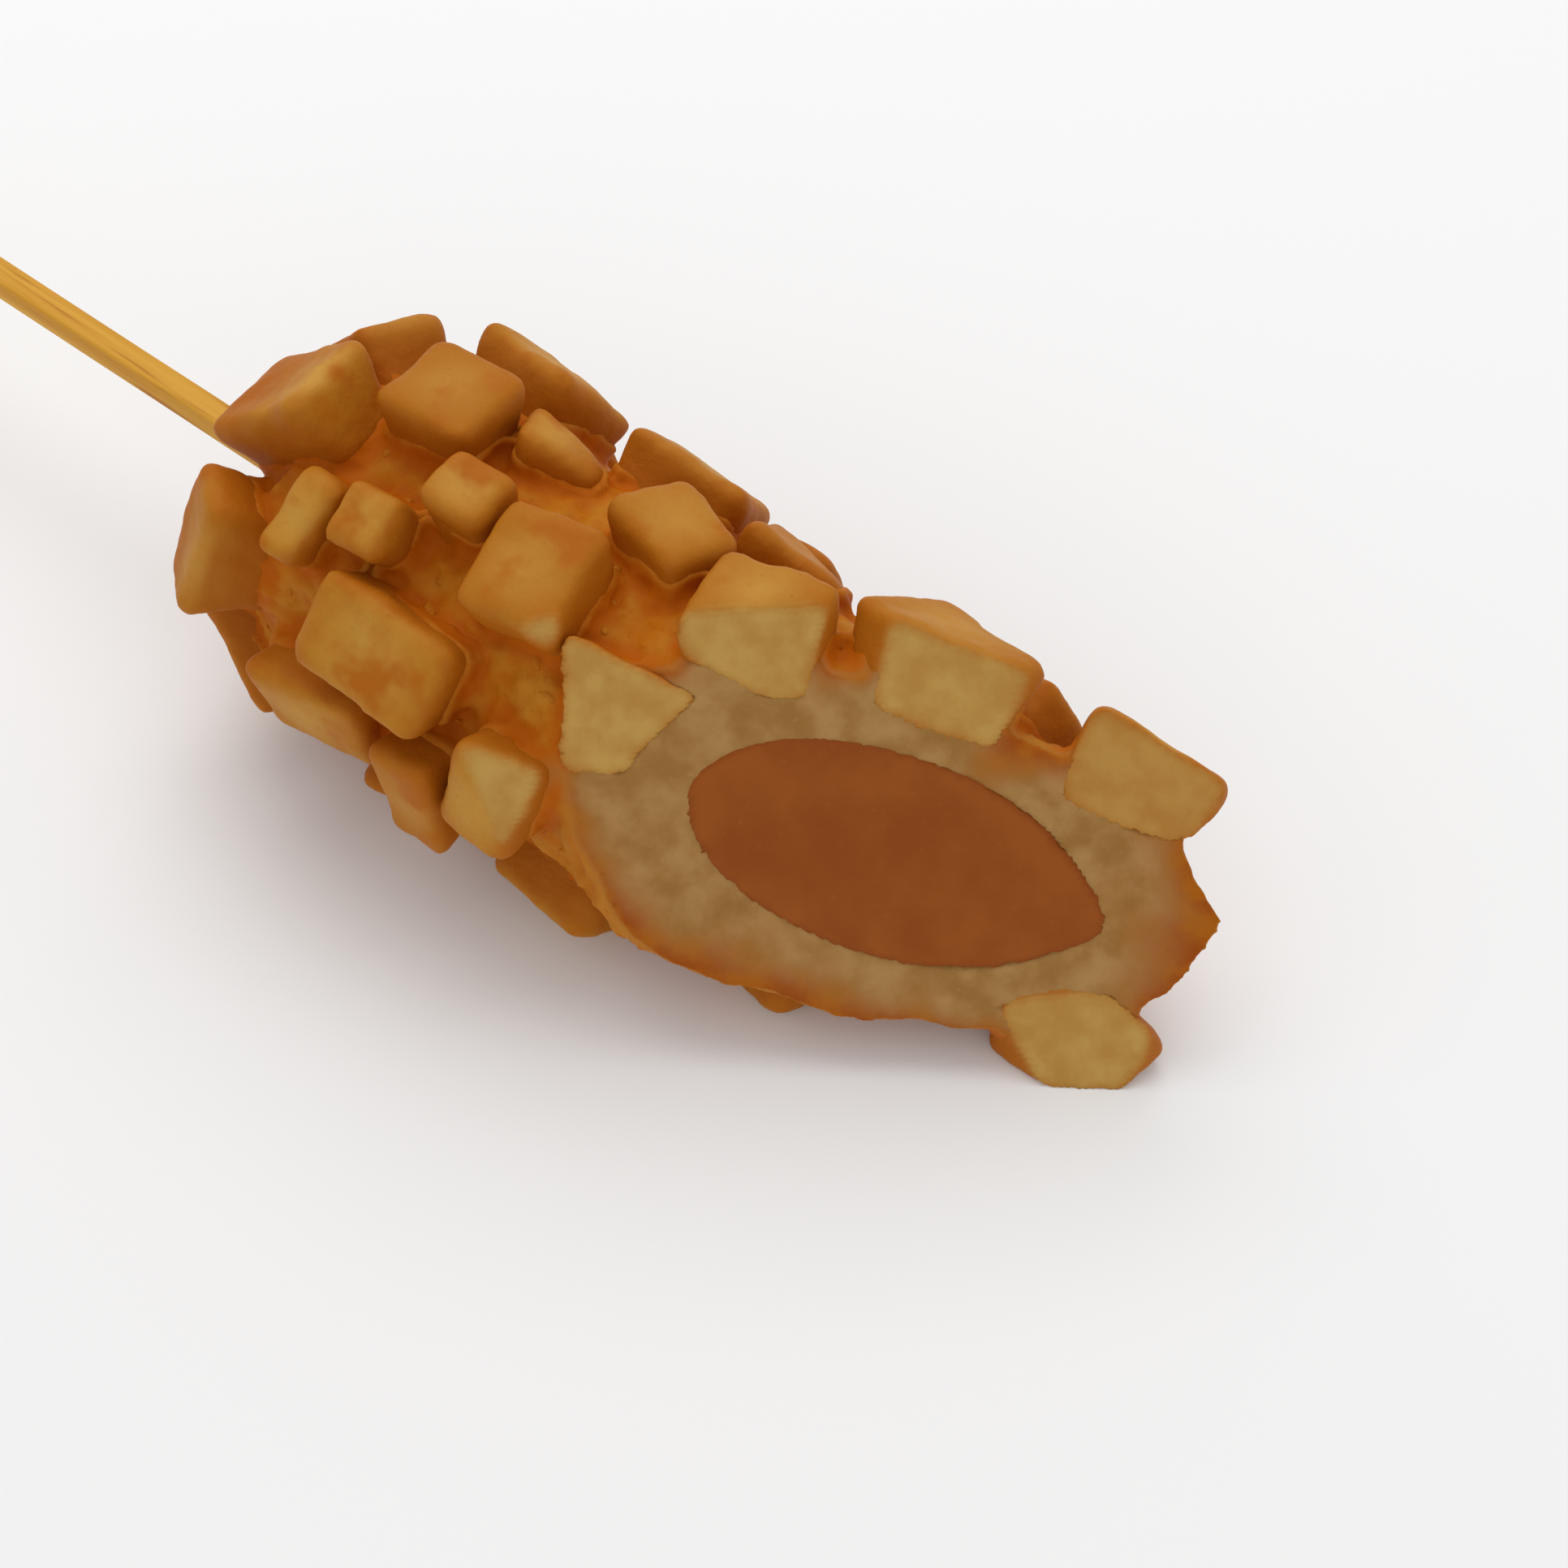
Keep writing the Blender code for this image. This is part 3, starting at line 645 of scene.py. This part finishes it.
# %% Give the batter its crust
BLISTER_SIZE = 2.6 * MM
FOLD_SIZE = 6.0 * MM
GRIT_SIZE = 1.3 * MM
UNDER_FACES = 0.03 * MM
blister = 0.5 - 1.6 * np.abs(relief(points, BLISTER_SIZE, 5))
fold = relief(points, FOLD_SIZE, 6)
grit = relief(points, GRIT_SIZE, 8)
crags = (0.55 * blister + 0.60 * fold + 0.28 * grit) * MM * (1 - on_cut)
crags *= 1 - smooth_step(from_dough, 0.4 * MM, 2.0 * MM) * 0.7
crags *= 0.15 + 0.85 * smooth_step(inside, 0.3 * MM, 3.0 * MM)
points += normals * (crags - drawn_in)[:, None]
beside_cut = (1 - smooth_step(inside, 0.8 * MM, 2.4 * MM)) * (1 - on_cut)
points += (averaged(mesh, points, 4) - points) * beside_cut[:, None]
points += np.outer(np.minimum(depth_behind_cut(points) - UNDER_FACES, 0), KNIFE)
print("the crust stands out by up to", round(float(crags.max()) / MM, 2), "mm")

# %% [markdown]
# A knife tears fried crust rather than slicing it, so the outline of the cut has shallow
# bays and nicks. The steps that the rebuilding left are evened out first, then the
# outline moves in and out within the knife's plane.

# %% Tear the outline of the cut
BAY_SIZE = 4.5 * MM
NICK_SIZE = 2.0 * MM
LEAST_HEIGHT = 0.1 * MM
outline = 1 - smooth_step(depth_behind_cut(points), 0.7 * MM, 1.8 * MM)
outline *= (1 - smooth_step(averaged(mesh, on_cut, 3), 0.75, 0.95)) * (from_dough < 1.0 * MM)
points += (averaged(mesh, points, 8) - points) * outline[:, None]
outwards = unit(from_axis(points))
outwards -= np.outer(outwards @ KNIFE, KNIFE)
ragged = (0.55 * relief(points, BAY_SIZE, 31) + 0.3 * relief(points, NICK_SIZE, 32)) * MM
ragged *= smooth_step(from_stick, 14.5 * MM, 17.5 * MM)
ragged *= 1 - smooth_step(inside, 1.0 * MM, 5.0 * MM)
ragged *= 1 - smooth_step(from_dough, 0.4 * MM, 1.4 * MM)
points += outwards * ragged[:, None]
points[:, 2] = np.maximum(points[:, 2], LEAST_HEIGHT)
move_points(mesh, points)
print("the outline moves by up to", round(float(np.abs(ragged).max()) / MM, 2), "mm")

# %% [markdown]
# The finish reads where the knife went, how near a point of the crumb is to the crust, and
# how near a point of the crust is to a dice. The browned rim is widest under the cut, at
# its far tip and in the gap between two dice, where the oil reached in.

# %% Store what the batter's finish reads
LOWER_EDGE = 128
FAR_TIP = 250
GLAZED_GAP = 314
CRUST_START = 14.5 * MM
DICE_REACH = 6 * MM
HOLLOW_DEPTH = 0.3 * MM
dice_points = []
dice_faces = []
for dice in dice_pieces:
    offset = len(dice_points)
    dice_points.extend(v.co.copy() for v in dice.data.vertices)
    dice_faces.extend(tuple(v + offset for v in p.vertices) for p in dice.data.polygons)
dice_skin = BVHTree.FromPolygons(dice_points, dice_faces)
from_dice = np.array([(dice_skin.find_nearest(Vector(p), DICE_REACH)[3] or DICE_REACH) for p in points])
outer = (on_cut < 0.2) & (from_dough < 0.6 * MM) & (inside > 0.6 * MM) & (inside < 6 * MM)
outer &= np.linalg.norm(from_axis(points), axis=1) > CRUST_START
crust_tree = KDTree(int(outer.sum()))
for index, point in enumerate(points[outer]):
    crust_tree.insert(Vector(point), index)
crust_tree.balance()
to_crust = np.array([crust_tree.find(Vector(p))[2] if c > 0.05 else 0 for p, c in zip(points, on_cut)])
stands_out = np.einsum("ij,ij->i", points - averaged(mesh, points, 8), normals_of(mesh)) / HOLLOW_DEPTH
around = angle_round(points)
rim_width = 1.7 + 2.6 * bell(around, LOWER_EDGE, 30) + 1.6 * bell(around, FAR_TIP, 24)
rim_width += 2.6 * bell(around, GLAZED_GAP, 10)
rim_width *= (1 + 0.4 * relief(points, 5.0 * MM, 15)) * MM
beside_dice = 1 - smooth_step(from_dice, 0.3 * MM, 3.2 * MM)
store(mesh, "cut", averaged(mesh, on_cut, 1))
store(mesh, "rim", bell(to_crust, 0, rim_width) * on_cut)
# Painted shade: the crust is darker and redder in hollows beside the dice.
store(mesh, "painted_hollow_shade", np.clip(beside_dice - stands_out * 0.35, 0, 1) * (1 - on_cut))
store(mesh, "ridge", smooth_step(stands_out, 0.25, 1.3) * (1 - on_cut) * 0.4)
batter.name = "fried_batter"
finish_piece(batter, ["dough"], dough_finish)
print("batter:", len(mesh.polygons), "faces,", int((on_cut > 0.5).sum()), "points on the cut")

# %% [markdown]
# The sausage only shows at the cut. Its face is rebuilt like the rest and put back on the
# knife's plane, with the slight swell that meat gets when it is cooked and then cut. The
# knife's pull drew its far end out to a soft point. Its skin is a slightly darker line.

# %% Shape the sausage
SAUSAGE_VOXEL = 0.6 * MM
SKIN_REACH = 3 * MM
POINTED_END = 240
MOST_PROUD = 0.4 * MM
sausage = merged_copy("sausage", "sausage_cut")
remeshed(sausage, SAUSAGE_VOXEL)
marks = knife_marks(sausage.data)
softened(sausage, 8)
mesh = sausage.data
points = points_of(mesh)
inside = depth_behind_cut(points)
face = smooth_step(averaged(mesh, marks, 3), 0.3, 0.7)
points += np.outer(inside * face, KNIFE)
side = KDTree(int((face < 0.5).sum()))
for index, point in enumerate(points[face < 0.5]):
    side.insert(Vector(point), index)
side.balance()
to_skin = np.array([side.find(Vector(p))[2] if f > 0.05 else 0 for p, f in zip(points, face)])
swell = (0.12 + 0.25 * smooth_step(to_skin, 0, 4 * MM) + 0.07 * relief(points, 4 * MM, 12)) * MM
tight = 1 - smooth_step(inside, 1.0 * MM, 4.0 * MM)
across = from_axis(points)
across = unit(across - np.outer(across @ KNIFE, KNIFE))
pinch = (0.35 + 1.4 * bell(angle_round(points), POINTED_END, 12)) * MM
points += across * (tight * smooth_step(SKIN_REACH - to_skin, 0, SKIN_REACH) * pinch)[:, None]
edge = tight * smooth_step(SKIN_REACH - to_skin, 0, 2 * MM)
points += (averaged(mesh, points, 5) - points) * edge[:, None]
points += np.outer((depth_behind_cut(points) + swell) * face, KNIFE)
points += np.outer(np.minimum(depth_behind_cut(points) + MOST_PROUD, 0), KNIFE)
move_points(mesh, points)
store(mesh, "skin", 1 - smooth_step(to_skin, 0.2 * MM, 1.0 * MM) * 0.9)
finish_piece(sausage, ["sausage"], sausage_finish)
print("sausage:", len(mesh.polygons), "faces")

# %% [markdown]
# The stick is a plain square length of wood with eased edges. It starts as a cube of the
# right size. In edit mode it is cut into short lengths, so that its sides can wander a
# little as sawn wood does, and its long edges are bevelled.

# %% Model the stick
STICK_EASE = 0.45 * MM
STICK_LENGTHS = 44
SWAY_SIZE = 2.5 * MM
SWAY = 0.06 * MM
low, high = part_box("stick")
bpy.ops.object.select_all(action="DESELECT")
middle = [(a + b) / 2 for a, b in zip(low, high)]
bpy.ops.mesh.primitive_cube_add(size=1, location=middle, scale=[b - a for a, b in zip(low, high)])
stick = bpy.context.object
stick.name = "birch_stick"
bpy.ops.object.transform_apply(location=True, rotation=True, scale=True)
bpy.ops.object.mode_set(mode="EDIT")
bpy.ops.mesh.select_all(action="SELECT")
bpy.ops.mesh.bevel(offset=STICK_EASE, segments=3, affect="EDGES")
span = high[0] - low[0] - 2 * STICK_EASE
for step in range(1, STICK_LENGTHS):
    at = low[0] + STICK_EASE + span * step / STICK_LENGTHS
    bpy.ops.mesh.select_all(action="SELECT")
    bpy.ops.mesh.bisect(plane_co=(at, 0, 0), plane_no=(1, 0, 0))
bpy.ops.object.mode_set(mode="OBJECT")
points = points_of(stick.data)
long_way = points * np.array([0.12, 1, 1])
sway = np.stack([relief(long_way, SWAY_SIZE, seed) for seed in (21, 22)], axis=1)
points[:, 1:] += sway * SWAY
move_points(stick.data, points)
finish_piece(stick, ["stick"], stick_finish)
print("stick:", len(stick.data.polygons), "faces")

# %% [markdown]
# Crisp bits. Batter splashes in the fryer and its drops set hard on the crust. One
# pebble is modelled, and copies with their own sizes and turns are half sunk in the
# batter, at spots drawn at random but kept off the cut.

# %% Scatter crisp bits over the crust
BITS = 170
SMALLEST_BIT = 0.3
LARGEST_BIT = 0.8
LOWEST_BIT = 4 * MM
FROM_CUT = 2.0 * MM
FROM_DICE = 0.5 * MM
bpy.ops.object.select_all(action="DESELECT")
bpy.ops.mesh.primitive_ico_sphere_add(subdivisions=2, radius=1)
pebble = bpy.context.object
pebble_points = points_of(pebble.data)
pebble_faces = [tuple(p.vertices) for p in pebble.data.polygons]
bpy.data.objects.remove(pebble)
spots = [
    (polygon.center.copy(), polygon.normal.copy())
    for polygon in batter.data.polygons
    if polygon.center.z > LOWEST_BIT
]
scatter = random.Random(19)
bit_points = []
bit_faces = []
placed = 0
while placed < BITS:
    centre, normal = scatter.choice(spots)
    behind = (CUT_CENTRE - centre).dot(CUT_NORMAL)
    beside = dice_skin.find_nearest(centre, 9 * MM)[3] or 9 * MM
    bare = dough_skin.find_nearest(centre)[3]
    if behind < FROM_CUT or beside < FROM_DICE or bare > 0.8 * MM:
        continue
    size = scatter.uniform(SMALLEST_BIT, LARGEST_BIT) * MM
    upright_turn = normal.to_track_quat("Z", "Y").to_matrix()
    turn = Matrix.Rotation(scatter.uniform(0, 6.28), 3, normal) @ upright_turn
    shape = np.array([scatter.uniform(0.7, 1.6), scatter.uniform(0.6, 1.2), scatter.uniform(0.3, 0.55)])
    dent = 1 + 0.55 * relief(pebble_points, 0.9, placed)
    moved = (pebble_points * dent[:, None] * shape * size) @ np.array(turn).T
    offset = len(bit_points)
    bit_points.extend(moved + np.array(centre - normal * size * 0.2))
    bit_faces.extend(tuple(v + offset for v in f) for f in pebble_faces)
    placed += 1
bits_mesh = bpy.data.meshes.new("crisp_bits")
bits_mesh.from_pydata([tuple(p) for p in bit_points], [], bit_faces)
bits = bpy.data.objects.new("crisp_bits", bits_mesh)
bpy.context.scene.collection.objects.link(bits)
store(bits_mesh, "cut", np.zeros(len(bit_points)))
store(bits_mesh, "rim", np.zeros(len(bit_points)))
# The crisp bits take a little of the painted shade of the hollows.
store(bits_mesh, "painted_hollow_shade", np.full(len(bit_points), 0.3))
store(bits_mesh, "ridge", np.full(len(bit_points), 0.1))
finish_piece(bits, [], dough_finish)
print(placed, "crisp bits")

# %% [markdown]
# The set. A wide white floor, one large soft light high on the far left, a weaker one from
# the right, and an even pale surround keep the shadows short and soft.

# %% Floor and light
bpy.ops.object.select_all(action="DESELECT")
FLOOR_WIDTH = 6
AIM = Vector((0.02, 0, 0.02))
bpy.ops.mesh.primitive_plane_add(size=FLOOR_WIDTH)
floor = bpy.context.object
floor.name = "floor"
floor_finish, tree, shader = new_finish("matte_white_card")
shader.inputs["Base Color"].default_value = linear("#f6f6f6")
shader.inputs["Roughness"].default_value = 0.9
floor.data.materials.append(floor_finish)


def soft_light(name, place, size, watts):
    """A square soft light aimed at the food."""
    lamp = bpy.data.lights.new(name, "AREA")
    lamp.size = size
    lamp.energy = watts
    made = bpy.data.objects.new(name, lamp)
    made.location = place
    made.rotation_euler = (AIM - Vector(place)).to_track_quat("-Z", "Y").to_euler()
    bpy.context.scene.collection.objects.link(made)
    return made


soft_light("key", (-0.25, 0.25, 0.75), 0.7, 3.0)
soft_light("fill", (0.55, -0.55, 0.45), 0.6, 0.6)
surround = bpy.data.worlds.new("surround")
bpy.context.scene.world = surround
surround.use_nodes = True
surround.node_tree.nodes["Background"].inputs["Color"].default_value = (1, 1, 1, 1)
surround.node_tree.nodes["Background"].inputs["Strength"].default_value = 0.65
bpy.context.scene.view_settings.view_transform = "Standard"
print("floor, two lights and a pale surround")

# %% [markdown]
# The camera looks down at 50 degrees from beside the cut, far enough away for a calm
# perspective, and the stick leaves the picture at its left edge.

# %% Camera
AZIMUTH = math.radians(40.3)
ELEVATION = math.radians(50)
LENS = 100
SENSOR = 36
PICTURE_WIDTH = 1932
PIXEL = 0.081 * MM
# The cut's middle is drawn this many pixels right of the picture's middle, and this many under it.
CUT_RIGHT = 1098 - PICTURE_WIDTH / 2
CUT_DOWN = 1056 - PICTURE_WIDTH / 2
back = Vector(
    (
        math.sin(AZIMUTH) * math.cos(ELEVATION),
        -math.cos(AZIMUTH) * math.cos(ELEVATION),
        math.sin(ELEVATION),
    )
)
right = Vector((math.cos(AZIMUTH), math.sin(AZIMUTH), 0))
up = back.cross(right)
eye = bpy.data.cameras.new("eye")
eye.lens = LENS
eye.sensor_width = SENSOR
distance = PICTURE_WIDTH * PIXEL * LENS / SENSOR
target = CUT_CENTRE + (up * CUT_DOWN - right * CUT_RIGHT) * PIXEL
camera = bpy.data.objects.new("eye", eye)
bpy.context.scene.collection.objects.link(camera)
turn = Matrix((right, up, back)).transposed().to_4x4()
camera.matrix_world = Matrix.Translation(target + back * distance) @ turn
bpy.context.scene.camera = camera
print("the camera stands", round(distance / MM), "mm away")
